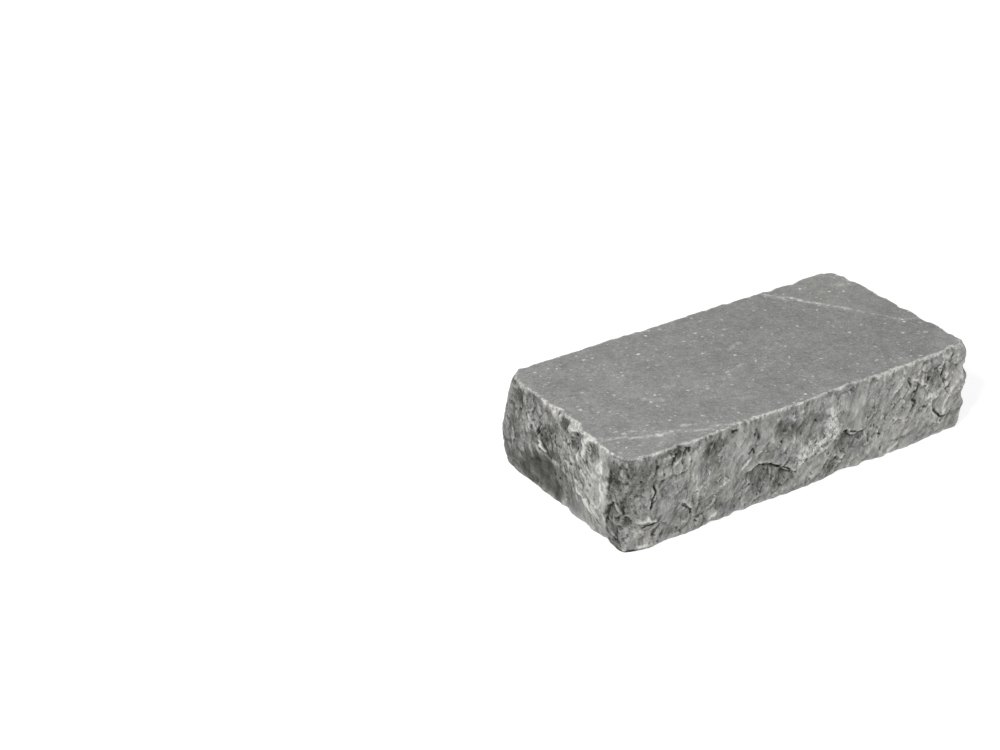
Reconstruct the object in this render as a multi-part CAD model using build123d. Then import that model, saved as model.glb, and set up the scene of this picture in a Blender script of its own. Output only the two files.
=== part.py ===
from build123d import *

import math
import os
from typing import NamedTuple

# A paver of natural stone: sawn flat on top and bed, split on its four sides.
# The split left hollows and curved steps. Tumbling has broken the upright corners
# and chipped the arrises.
# Millimetres. The bed lies on z = 0, the length runs along X.

LENGTH = 201.6  # between the split ends, at the top arris
WIDTH = 96.2  # between the split sides, at the top arris
THICKNESS = 45.0  # sawn top to sawn bed

BATTER = 2.2  # a long side leans out by this much from top to bed
END_BATTER = 1.7  # and a short end by this much
BELLY = 1.9  # a split side bulges by this much at half height
SWELL = 1.1  # the bulge grows and shrinks by this much along the side
SWELL_PITCH = 83.0  # length of that change
RIPPLE = 0.4  # height of the slanting waves of a split side
RIPPLE_PITCH = 37.0  # length of those waves
RIPPLE_LEAN = 52.0  # degrees they lean from upright
FRONT_TURN = -0.011  # the foot of the front turns in by this much, per mm along it
LEFT_TURN = 0.03  # the top of the left end turns out by this much, per mm along it

FACET_RADIUS = 30.0  # mean radius of the shallow hollows on the right and back
FACET_BITE = 1.1  # mean depth of those hollows
FACET_PITCH = 24.0  # mean distance between them along the side

FLAKE_RADIUS = 11.0  # mean radius of the hollow scars along the arrises
FLAKE_BITE = 1.3  # mean depth of a scar, square to the arris
FLAKE_PITCH = 19.0  # mean distance between scars along an arris

CHIP_RADIUS = 13.0  # radius of the scars at the top and foot of the upright corners
RIM_STEEP = 38.0  # degrees from level at which a scar bites an arris

GRID = 9.0  # spacing of the points that carry a split surface
MARGIN = 14.0  # a split surface runs past the stone by this much

# Hollows of the front and the left end: place along the side and up it, half width and depth.
FRONT_HOLLOWS = (
    (-92, 34, 6.5, 0.7),
    (-56, 39, 5.0, 0.8),
    (-15, 36, 7.0, 1.0),
    (3, 35, 9.0, 0.8),
    (15, 5, 5.0, 0.8),
    (52, 11, 9.0, 0.7),
    (78, 36, 7.5, 1.1),
)
LEFT_HOLLOWS = (
    (-36.5, 40, 5.5, 1.0),
    (-11, 28, 7.5, 1.3),
    (0.5, 43.5, 4.0, 1.2),
    (11, 39.5, 5.5, 1.4),
    (24.5, 40.5, 5.0, 1.3),
    (-5, 11, 12.0, 1.2),
)

# Steps in the split: the line of the step, whose right hand lies lower, and its depth.
FRONT_STEPS = (
    (((-91.5, 18), (-89, 23), (-87, 27), (-88, 32), (-86, 38)), 1.3),
    (((-78, 20), (-74, 17), (-70, 13.5), (-66, 9.5)), 1.0),
    (((-36, 20), (-27, 20.8), (-21.5, 19.5), (-15.5, 16), (-7, 10.5)), 2.2),
    (((16, 41), (16, 30), (13, 21.5), (7, 18), (-7, 12)), 0.9),
    (((16, 22.3), (22, 22.6), (29, 20.2), (38, 20)), 1.6),
    (((86, 10.5), (81, 13), (77.5, 17), (77, 23), (80, 27)), 1.2),
    (((85, 24), (83, 31), (83.5, 39), (86, 44)), 1.2),
)
LEFT_STEPS = (
    (((14, 18.5), (4, 18.5), (-6, 19.5), (-12, 21), (-19, 25)), 1.2),
    (((32.5, 44), (33, 36), (34.5, 25), (34, 14), (37, 7)), 1.3),
)

# Chips in the top arris of the front and the left end: place along it, half width and depth.
FRONT_RIM = (
    (-72.5, 3.2, 1.0),
    (-42, 3.0, 1.1),
    (26, 4.0, 0.9),
    (52, 2.2, 0.7),
    (89, 3.6, 1.4),
)
LEFT_RIM = (
    (-7, 6.5, 1.0),
    (7.5, 6.0, 1.9),
    (20, 4.0, 0.7),
)

# Breaks of an upright corner: legs along the two sides that meet there, at the top,
# and how far the broken face leans out from top to bed.
NEAR_BREAKS = (
    (9.0, 3.5, 3.6),
    (3.0, 9.0, 3.0),
)
RIGHT_BREAKS = ((3.5, 3.5, 1.0),)
FAR_BREAKS = ((8.0, 7.0, 2.6),)
LEFT_BREAKS = (
    (6.0, 4.0, 0.6),
    (7.0, 5.7, 14.0),
)

# Notches of the right corner's edge: place up it, half width and depth.
RIGHT_NOTCHES = (
    (33, 5.0, 0.9),
    (18, 4.0, 0.8),
    (8, 4.0, 0.8),
)


class Side(NamedTuple):
    """A split face: its frame (x along it, y up, z out of the stone) and how its surface runs."""

    frame: Plane
    length: float
    start: float  # where its waves start, in radians
    batter: float
    bed_turn: float = 0.0
    top_turn: float = 0.0


def side_plane(x, y, along, outward):
    return Plane(origin=(x, y, 0), x_dir=along, z_dir=outward)


FRONT = Side(side_plane(0, -WIDTH / 2, (1, 0, 0), (0, -1, 0)), LENGTH, 0.9, BATTER, FRONT_TURN, 0)
RIGHT = Side(side_plane(LENGTH / 2, 0, (0, 1, 0), (1, 0, 0)), WIDTH, 5.2, END_BATTER)
BACK = Side(side_plane(0, WIDTH / 2, (-1, 0, 0), (0, 1, 0)), LENGTH, 4.1, BATTER)
LEFT = Side(side_plane(-LENGTH / 2, 0, (0, -1, 0), (-1, 0, 0)), WIDTH, 4.9, END_BATTER, 0, LEFT_TURN)

# Each upright corner: the side that ends there, the side that starts there, its breaks,
# its notches, and how deep the scars at its top and at its foot bite.
CORNERS = (
    (LEFT, FRONT, NEAR_BREAKS, (), 0.0, 0.0),
    (FRONT, RIGHT, RIGHT_BREAKS, RIGHT_NOTCHES, 0.6, 1.8),
    (RIGHT, BACK, FAR_BREAKS, (), 0.8, 0.6),
    (BACK, LEFT, LEFT_BREAKS, (), 0.0, 0.6),
)

# Each arris with scattered flakes: its side, its height, the way up or down, and their depth.
FLAKED_ARRISES = (
    (FRONT, 0.0, -1, 0.6),
    (LEFT, 0.0, -1, 0.5),
    (RIGHT, THICKNESS, 1, 0.5),
    (RIGHT, 0.0, -1, 0.9),
    (BACK, THICKNESS, 1, 0.4),
    (BACK, 0.0, -1, 0.4),
)


def relief(side, along, up):
    """How far the split face stands out of its frame."""
    rise = up / THICKNESS
    lean = side.batter * (1 - rise)
    swell = SWELL * math.sin(2 * math.pi * along / SWELL_PITCH + side.start)
    belly = (BELLY + swell) * math.sin(math.pi * rise)
    slope = math.radians(RIPPLE_LEAN)
    across = along * math.cos(slope) - up * math.sin(slope)
    ripple = RIPPLE * math.sin(2 * math.pi * across / RIPPLE_PITCH + 2.4 * side.start)
    turn = along * (side.bed_turn * (1 - rise) + side.top_turn * rise)
    return lean + belly + ripple + turn


def spaced(first, last, step):
    """Evenly spaced values from first to last, about step apart."""
    count = max(2, math.ceil((last - first) / step))
    return [first + (last - first) * i / count for i in range(count + 1)]


def scatter(index, stride):
    """A fixed value between 0 and 1 that looks unordered from one index to the next."""
    return (0.5 + index * stride) % 1


def split_waste(side):
    """The stone that comes off outside one split face."""
    rows = []
    for along in spaced(-side.length / 2 - MARGIN, side.length / 2 + MARGIN, GRID):
        row = []
        for up in spaced(-MARGIN, THICKNESS + MARGIN, GRID):
            row.append(side.frame.from_local_coords(Vector(along, up, relief(side, along, up))))
        rows.append(row)
    surface = Face.make_surface_from_array_of_points(rows, tol=0.02, min_deg=3, max_deg=5)
    return Solid.extrude(surface, side.frame.z_dir * (2 * MARGIN))


def corner_break(before, after, leg_before, leg_after, batter):
    """The broken face at the upright corner where one side ends and the next starts."""
    corner = before.frame.from_local_coords(Vector(before.length / 2, 0, 0))
    corner += before.frame.z_dir * relief(before, before.length / 2, THICKNESS)
    corner += after.frame.z_dir * relief(after, -after.length / 2, THICKNESS)
    first = corner - before.frame.x_dir * leg_before
    last = corner + after.frame.x_dir * leg_after
    outward = (last - first).cross(Vector(0, 0, 1))
    frame = Plane(origin=(first + last) / 2, x_dir=last - first, z_dir=outward)
    return Side(frame, (last - first).length, before.start + after.start, batter)


def scar(side, along, up, radius, bite, steep=0.0):
    """A round hollow struck into a face, square to it or at a steep angle."""
    lift = radius - bite
    out = relief(side, along, up) + lift * math.cos(math.radians(steep))
    rise = lift * math.sin(math.radians(steep))
    return Pos(*side.frame.from_local_coords(Vector(along, up + rise, out))) * Sphere(radius)


def hollow(side, along, up, half_width, depth, steep=0.0):
    """A scar given by its width and depth."""
    radius = (half_width**2 + depth**2) / (2 * depth)
    return scar(side, along, up, radius, depth, steep)


def split_step(side, line, depth):
    """A hollow that stops at a wall along a curved line and runs out on the line's right hand."""
    first, last = Vector(*line[0]), Vector(*line[-1])
    along, up = line[len(line) // 2]
    chord = last - first
    aside = chord.cross(Vector(0, 0, 1))
    ends = Polyline(last, last + aside + chord / 2, first + aside - chord / 2, first)
    ground = make_face(Spline(*line) + ends)
    reach = extrude(side.frame * ground, amount=2 * MARGIN, both=True)
    return hollow(side, along, up, chord.length / 2, depth) & reach


def side_facets(side):
    """Shallow hollows over one split side, in two staggered rows."""
    hollows = []
    count = max(2, round(side.length / FACET_PITCH))
    for i in range(count):
        seed = i + 3 * side.start
        along = side.length * ((i + 0.5) / count - 0.5) + FACET_PITCH * (scatter(seed, 0.618) - 0.5)
        share = (0.3 if i % 2 else 0.64) + 0.16 * (scatter(seed, 0.271) - 0.5)
        radius = FACET_RADIUS * (0.6 + 0.8 * scatter(seed, 0.414))
        bite = FACET_BITE * (0.6 + 0.8 * scatter(seed, 0.732))
        hollows.append(scar(side, along, THICKNESS * share, radius, bite))
    return hollows


def arris_flakes(side, height, way, depth):
    """Hollow scars along the top or bottom arris of one side."""
    scars = []
    count = max(2, round(side.length / FLAKE_PITCH))
    for i in range(count):
        seed = i + side.start + 0.37 * (way < 0)
        shift = scatter(seed, 0.618) - 0.5
        along = side.length * ((i + 0.5 + 0.6 * shift) / count - 0.5)
        radius = FLAKE_RADIUS * (0.6 + 0.8 * scatter(seed, 0.414))
        bite = FLAKE_BITE * depth * (0.4 + 1.2 * scatter(seed, 0.732))
        steep = RIM_STEEP + 24 * (scatter(seed, 0.236) - 0.5)
        scars.append(scar(side, along, height, radius, bite, way * steep))
    return scars


def corner_waste(before, after, breaks, notches, top_bite, foot_bite):
    """The stone that comes off at one upright corner."""
    faces = [corner_break(before, after, *sizes) for sizes in breaks]
    waste = [split_waste(face) for face in faces]
    waste += [hollow(faces[0], 0, *sizes) for sizes in notches]
    for height, bite, way in ((THICKNESS, top_bite, 1), (0, foot_bite, -1)):
        if bite:
            waste.append(scar(faces[0], 0, height, CHIP_RADIUS, bite, way * RIM_STEEP))
    return waste


def paving_tile():
    block = Box(
        LENGTH + MARGIN,
        WIDTH + MARGIN,
        THICKNESS,
        align=(Align.CENTER, Align.CENTER, Align.MIN),
    )
    for side in (FRONT, RIGHT, BACK, LEFT):
        block -= split_waste(side)
    for side in (RIGHT, BACK):
        block -= side_facets(side)
    for side, hollows, steps in (
        (FRONT, FRONT_HOLLOWS, FRONT_STEPS),
        (LEFT, LEFT_HOLLOWS, LEFT_STEPS),
    ):
        block -= [hollow(side, *sizes) for sizes in hollows]
        block -= [split_step(side, *sizes) for sizes in steps]
    for corner in CORNERS:
        block -= corner_waste(*corner)
    for side, chips in ((FRONT, FRONT_RIM), (LEFT, LEFT_RIM)):
        for along, half_width, depth in chips:
            block -= hollow(side, along, THICKNESS, half_width, depth, RIM_STEEP)
    for arris in FLAKED_ARRISES:
        block -= arris_flakes(*arris)
    stone = block.solid()
    box = stone.bounding_box()
    return Pos(-box.center().X, -box.center().Y, -box.min.Z) * stone


os.makedirs("parts", exist_ok=True)
export_step(paving_tile(), "parts/paving_tile.step")
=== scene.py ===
import math

import bpy
import numpy as np
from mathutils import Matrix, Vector
from mathutils.bvhtree import BVHTree


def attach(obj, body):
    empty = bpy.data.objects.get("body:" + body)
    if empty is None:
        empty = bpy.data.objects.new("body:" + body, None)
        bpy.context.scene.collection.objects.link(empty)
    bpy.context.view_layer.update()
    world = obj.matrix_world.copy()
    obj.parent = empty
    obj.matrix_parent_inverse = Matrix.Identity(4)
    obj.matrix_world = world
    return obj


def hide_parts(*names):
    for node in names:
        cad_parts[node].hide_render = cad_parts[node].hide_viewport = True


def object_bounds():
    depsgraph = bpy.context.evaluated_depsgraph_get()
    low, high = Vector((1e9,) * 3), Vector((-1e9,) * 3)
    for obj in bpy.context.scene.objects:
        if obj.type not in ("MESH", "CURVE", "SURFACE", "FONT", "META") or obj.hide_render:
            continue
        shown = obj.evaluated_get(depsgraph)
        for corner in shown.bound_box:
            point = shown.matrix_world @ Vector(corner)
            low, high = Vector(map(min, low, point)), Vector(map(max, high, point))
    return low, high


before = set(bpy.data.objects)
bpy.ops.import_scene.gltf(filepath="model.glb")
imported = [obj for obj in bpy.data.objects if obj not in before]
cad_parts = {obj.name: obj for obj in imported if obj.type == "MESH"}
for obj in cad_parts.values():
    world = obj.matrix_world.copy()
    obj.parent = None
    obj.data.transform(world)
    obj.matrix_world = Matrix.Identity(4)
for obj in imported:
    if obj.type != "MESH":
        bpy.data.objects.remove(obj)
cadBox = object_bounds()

scene = bpy.context.scene
scene.view_settings.view_transform = "Standard"
mm = 0.001
print("frame loaded")


# camera, light and paper floor

studio = {
    "eye": (-551.8, -632.8, 490.6),       # mm
    "look": (0.48283, 0.73265, -0.47969),
    "lens": 72.5,
    "sensor": 36.0,
    "clip": (0.05, 20.0),                 # m
    "sky": 0.42,                          # soft light from all round
    "lampAim": (0, 0, 0.02),              # m, inside the stone
    "keyPower": 17.0,
    "keyPlace": (-1.0, -0.55, 1.05),      # m, to the left and above
    "keySize": 0.28,
    "fillPower": 2.0,
    "fillPlace": (0.7, -1.3, 0.6),
    "fillSize": 0.8,
    "floorHalf": 6.0,                     # m
    "floorColor": (0.8, 0.8, 0.8, 1),
    "floorGlow": 0.78,                    # seen by the camera only
    "floorPale": (0.4, 0.4, 0.4, 1),      # takes the shadow the camera sees
}


def makeCamera():
    data = bpy.data.cameras.new("camera")
    data.lens = studio["lens"]
    data.sensor_width = studio["sensor"]
    data.clip_start, data.clip_end = studio["clip"]
    camera = bpy.data.objects.new("camera", data)
    scene.collection.objects.link(camera)
    camera.location = Vector(studio["eye"]) * mm
    camera.rotation_mode = "QUATERNION"
    camera.rotation_quaternion = Vector(studio["look"]).to_track_quat("-Z", "Y")
    scene.camera = camera


def makeLamp(name, power, place, size):
    data = bpy.data.lights.new(name, "AREA")
    data.shape = "DISK"
    data.size = size
    data.energy = power
    lamp = bpy.data.objects.new(name, data)
    scene.collection.objects.link(lamp)
    lamp.location = place
    lamp.rotation_mode = "QUATERNION"
    way = Vector(studio["lampAim"]) - Vector(place)
    lamp.rotation_quaternion = way.to_track_quat("-Z", "Y")


def makeWorld():
    world = bpy.data.worlds.new("studio")
    scene.world = world
    world.use_nodes = True
    nodes, links = world.node_tree.nodes, world.node_tree.links
    nodes.clear()
    path = nodes.new("ShaderNodeLightPath")
    soft = nodes.new("ShaderNodeBackground")
    soft.inputs["Strength"].default_value = studio["sky"]
    white = nodes.new("ShaderNodeBackground")
    white.inputs["Strength"].default_value = 1.0
    for ground in (soft, white):
        ground.inputs["Color"].default_value = (1, 1, 1, 1)
    mix = nodes.new("ShaderNodeMixShader")
    out = nodes.new("ShaderNodeOutputWorld")
    links.new(path.outputs["Is Camera Ray"], mix.inputs[0])
    links.new(soft.outputs[0], mix.inputs[1])
    links.new(white.outputs[0], mix.inputs[2])
    links.new(mix.outputs[0], out.inputs[0])


def makeFloor():
    mesh = bpy.data.meshes.new("floor")
    s = studio["floorHalf"]
    corners = [(-s, -s, 0), (s, -s, 0), (s, s, 0), (-s, s, 0)]
    mesh.from_pydata(corners, [], [(0, 1, 2, 3)])
    floor = bpy.data.objects.new("floor", mesh)
    scene.collection.objects.link(floor)
    paper = bpy.data.materials.new("paper")
    paper.use_nodes = True
    nodes, links = paper.node_tree.nodes, paper.node_tree.links
    nodes.clear()
    path = nodes.new("ShaderNodeLightPath")
    matt = nodes.new("ShaderNodeBsdfDiffuse")
    matt.inputs["Color"].default_value = studio["floorColor"]
    glow = nodes.new("ShaderNodeEmission")
    glow.inputs["Color"].default_value = (1, 1, 1, 1)
    glow.inputs["Strength"].default_value = studio["floorGlow"]
    pale = nodes.new("ShaderNodeBsdfDiffuse")
    pale.inputs["Color"].default_value = studio["floorPale"]
    both = nodes.new("ShaderNodeAddShader")
    mix = nodes.new("ShaderNodeMixShader")
    out = nodes.new("ShaderNodeOutputMaterial")
    links.new(glow.outputs[0], both.inputs[0])
    links.new(pale.outputs[0], both.inputs[1])
    links.new(path.outputs["Is Camera Ray"], mix.inputs[0])
    links.new(matt.outputs[0], mix.inputs[1])
    links.new(both.outputs[0], mix.inputs[2])
    links.new(mix.outputs[0], out.inputs["Surface"])
    mesh.materials.append(paper)


makeCamera()
makeLamp("keyLamp", studio["keyPower"], studio["keyPlace"], studio["keySize"])
makeLamp("fillLamp", studio["fillPower"], studio["fillPlace"], studio["fillSize"])
makeWorld()
makeFloor()
print("studio ready")


# stone: columns run round the four sides, rows run from the sawn top down to the bed
# a noise is given by its amount, size and shift, mm

stone = {
    "node": "paving_tile",
    "height": 45.0,
    "pathInset": 4.0,                     # the columns stand on a path this far inside the box
    "pathRadius": 12.0,
    "fineStep": 0.52,                     # between columns on the front and left sides
    "coarseStep": 0.78,                   # on the right and back
    "rowStep": 0.58,
    "edgeRows": (0.02, 0.16, 0.4, 0.75),  # rows close to each arris
    "innerRow": 1.2,                      # where the even rows begin
    "sideTurn": (0.3, 0.8),               # a side's marks fade in over this much of the turn at a corner
    "readFrom": 40.0,                     # the solid is read from this far outside the path
    "readAlong": ((1.3, 5.0, 60), (0.5, 1.8, 64)),      # and this far off to the side
    "readUp": ((1.1, 5.0, 68), (0.5, 1.8, 72)),
    "readUpFade": (0.2, 3.0),             # less of that near the arrises
    "arrisRound": (0.3, 0.9),             # least and most rounding of the arrises
    "arrisStretch": 6.0,
    "rimHold": (0.35, 3.0),               # marks are shallower at the top arris: share and height
    "rimChips": (1.4, 1.0, 0.8, 1.4),     # small chips in the top arris: front, right, back, left
    "rimChipKinds": ((1.0, 2.9, 0.15, 80), (0.8, 1.3, 0.3, 84)),    # share, size, gap and shift
    "rimChipHeight": 1.3,
    "rimStretch": (11.0, 77, -0.5, 0.5),  # stretches with more chips: size, shift, least and most
    "rimShade": (0.35, 1.5, 1.0),         # painted shade under the chips: tone, how far down, half height
    "rightBites": ((35, 1.3, 6), (13, 1.8, 4.5), (-2, 1.9, 3), (-18, 1.0, 4), (-34, 1.3, 4)),
    "backBites": ((72, 1.3, 5),),         # out of the top arris: place along the side, depth, half width
    "biteHeight": 3.0,
    "cornerTurn": (0.0, 0.35),            # where an upright corner begins and is in full
    "cornerBlend": 3.0,                   # softening of the upright corners, in columns
    "cornerSoft": (0.4, 0.35),            # how much of it: the near corner, the others
    "cornerWave": (0.5, 13.3, 9.7),       # lobes down the right corner: depth, spacing, start
    "cornerWaist": (1.1, 14, 8),          # and a waist: depth, height, half height
    "cornerCrown": (1.2, 2.2),            # and at its crown: depth and height
    "cornerRough": ((0.4, 7.0, 90), (0.3, 2.6, 93)),
    "farCorner": 2.0,                     # the far corner is rounder than its broken face
    "farCornerTurn": (0.3, 0.7),
    "footWave": ((0.6, 8.0, 97), (0.35, 3.1, 99)),      # the foot waves a little
    "footHeight": 3.0,
    "leftTorn": 0.25,                     # the left end and the near corner are torn rougher
    "calmRange": (-0.6, 1.0),
    "strand": (0.25, 0.75),               # streaks on the ends, and how many more on the long sides
    "reliefShare": (0.4, 0.3, 4.0),       # less relief at the arrises: share, start, full
    "reliefFade": 4.0,                    # it fades over the rings of the sawn faces
    "splitFade": 0.4,                     # and so does the split colour
    "bedRim": 30.0,                       # no worn line at the foot
    "topRings": (8.0, 4.0, 2.2, 1.2, 0.6, 0.25),
    "bedRings": (4.0, 1.0),
    "seed": 11,
}


# Marks left by the split, mm: place along the side, then height.
# A crack is a thin groove. A ridge stands proud and may carry pale crystals, its spar.
# A spot changes the tone, the roughness and the pits.
def crack(*path, **look):
    return {"kind": "crack", "path": path, **look}


def ridge(*path, **look):
    return {"kind": "ridge", "path": path, **look}


def spot(at, size, **look):
    return {"kind": "spot", "at": at, "size": size, **look}


frontMarks = [
    crack((-88.5, 32), (-87, 27), (-89, 22.5), (-91.5, 19), deep=2.2, wide=0.55),
    ridge((-98, 14.5), (-94, 14), (-92.5, 16), (-90.5, 14), (-86.5, 12.5), deep=0.6, wide=0.65, tone=0.3),
    crack((-97, 12), (-94, 11.5), (-90.5, 12), (-86, 13), deep=1.0, wide=0.35),
    crack((-75, 17.8), (-70, 13.5), (-66.5, 9.5), deep=0.8, wide=0.3, torn=1),
    crack((-33, 20.2), (-27, 20.8), (-21.5, 19.4), (-15.5, 16), (-7.5, 10.6), deep=1.6, wide=0.5),
    crack((-35.5, 28.5), (-33, 30.2), (-30.5, 28), deep=1.1, wide=0.55),
    ridge((-40.5, 22.5), (-36, 25), (-32, 27.3), deep=0.3, wide=0.4, tone=0.5),
    ridge((-32, 27.5), (-26, 27.8), (-19, 26.5), deep=0.2, wide=0.4, tone=0.3, torn=1),
    ridge((-11, 13), (-5, 16), (1, 19), (8, 21.5), (13.5, 24), (14.5, 29), (15, 34), (19, 39),
          deep=0.4, wide=3.4, tone=0.1, spar=1.0),
    ridge((-4, 20), (3, 24), (8, 27), deep=0.2, wide=2.6, spar=0.6),
    ridge((69, 34), (72, 31), (76.5, 28.5), deep=0.4, wide=1.6, tone=0.22, spar=1.0),
    ridge((72, 24.5), (76, 25.5), (81, 26.5), deep=0.4, wide=2.0, tone=0.14, spar=1.0),
    crack((18, 22.4), (23, 22.4), (30, 20.0), (37, 19.8), deep=0.8, wide=0.45),
    crack((40, 13), (44, 14), (48, 11), deep=0.8, wide=0.5),
    crack((62, 38), (63.5, 34.5), (63.5, 32.5), deep=1.6, wide=0.8),
    crack((67, 34.5), (68.5, 32), (66, 29.5), (65, 26), (66.5, 23), (64.5, 19), deep=1.3, wide=0.8),
    ridge((65, 37.5), (66.5, 36), (68, 35), deep=0.5, wide=0.8, tone=0.42),
    crack((78, 18), (80.5, 14), (83.5, 11.8), (87, 10.2), deep=1.2, wide=0.5),
    ridge((84.5, 11.5), (80, 6), (77, 2), deep=0.3, wide=0.5, tone=0.35),
    ridge((84, 45), (85.5, 41), (87, 37), (86.5, 29), deep=0.5, wide=1.1, tone=0.3, torn=1),
    ridge((91.5, 27), (88, 23), (86, 19.5), (84.5, 15), (86, 10.5), deep=0.3, wide=0.9, tone=0.24),
    crack((91, 44), (89.5, 42), (88.5, 39.5), deep=1.0, wide=0.6),
    crack((94, 36.5), (94.5, 34), deep=0.9, wide=0.6),
    ridge((-83, 41), (-78, 41.5), (-73.5, 41), deep=0.4, wide=0.7, tone=0.3, torn=1),
    crack((-99, 43), (-99.3, 38), (-99.7, 34), deep=1.0, wide=0.7, torn=1),
    crack((-101.4, 27), (-101.2, 22), (-100.8, 17), deep=0.8, wide=0.6, torn=1),
    crack((-86, 42.5), (-86.3, 39.5), (-87.5, 34), deep=1.0, wide=0.6, torn=1),
    crack((-76.5, 41), (-78.5, 38), deep=0.8, wide=0.6),
    ridge((-78, 37), (-74, 38), (-71, 39.5), deep=0.3, wide=0.5, tone=0.35),
    ridge((-52.5, 17.5), (-50, 19.5), (-47.5, 20.5), deep=0.2, wide=0.35, tone=0.4),
    ridge((-58.5, 3), (-55.5, 4.5), (-52.5, 5.5), deep=0.3, wide=1.2, tone=0.35),
    crack((51.5, 7.6), (57.5, 6.5), (64, 6.2), deep=0.9, wide=0.5, torn=1),
    ridge((50.5, 1.8), (55, 3.6), (59.5, 5.4), deep=0.3, wide=0.9, tone=0.3),
    spot((-98.5, 6.5), (4, 3.5), tone=0.12),
    spot((-98, 22), (7, 26), tone=-0.1, pits=0.4),
    spot((-80, 24), (18, 18), tone=-0.05),
    spot((-92, 35), (5, 8), tone=-0.13),
    spot((-84, 40.5), (9, 5), tone=-0.1, pits=0.8),
    # the dark spots near 42 mm up, just under the top arris: painted shade under small notches
    spot((-74, 42.5), (6, 3), tone=-0.2, pits=0.5),
    crack((-71, 43.5), (-69, 42), (-68, 40.5), deep=1.2, wide=0.8),
    crack((-78.5, 40), (-78.5, 37), deep=1.0, wide=0.6),
    crack((-44, 42), (-42, 42.5), (-40, 43.5), deep=1.2, wide=1.0),
    crack((-30, 40), (-29.5, 37), (-28.5, 33), deep=0.7, wide=0.8, torn=1),
    spot((-55.5, 39.5), (4.5, 8), tone=-0.18),
    spot((-42, 42.5), (3, 3), tone=-0.2),
    spot((-12, 36), (7, 9), tone=-0.17),
    spot((3, 35), (11, 7), tone=-0.1),
    spot((15, 5.5), (5, 3.5), tone=-0.15),
    spot((26, 42.5), (4.5, 2.5), tone=-0.2),
    spot((52, 42.5), (2, 2), tone=-0.2),
    spot((79, 36.5), (10, 9), tone=-0.18, pits=0.9),
    spot((89, 42), (3, 3), tone=-0.12),
    spot((-20, 10), (14, 8), tone=-0.16, pits=0.3),
    spot((-85, 5), (7, 4), tone=-0.1),
    spot((28, 15), (9, 4), tone=-0.1),
    spot((66, 28), (4, 8), tone=-0.12),
    ridge((-104, 1.5), (-97, 1), (-92, 1), (-85, 1.5), deep=1.5, wide=3.0),
    ridge((-97, 3), (-93, 2.5), (-89, 2.5), deep=0.3, wide=0.6, tone=0.3),
    # painted shade along the near foot, where the bottom arris curves under
    spot((-97, 0), (7, 1.3), tone=-0.6, crisp=1),
    spot((-79, 17), (7, 7), tone=0.06, calm=0.6),
    spot((-67, 35), (5, 9), tone=0.12, calm=0.5),
    spot((-64, 22), (4, 8), tone=0.06),
    spot((-40, 33), (5, 9), tone=0.08, calm=0.4),
    spot((-44, 22), (24, 24), tone=-0.03, calm=0.4),
    spot((-55, 5), (4, 3), tone=0.16),
    spot((-24, 39), (6, 5), tone=0.07, calm=0.5),
    spot((0, 9), (7, 4), tone=0.12, calm=0.6),
    spot((28, 32), (9, 10), tone=0.05, calm=0.9),
    spot((50, 35), (9, 7), tone=0.06, calm=0.4),
    spot((52, 10), (9, 7), tone=0.08, calm=0.7),
    spot((82, 19), (3, 4.5), tone=0.13, calm=0.7, crisp=1),
    spot((75, 22), (55, 40), tone=0.08),
]
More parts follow.
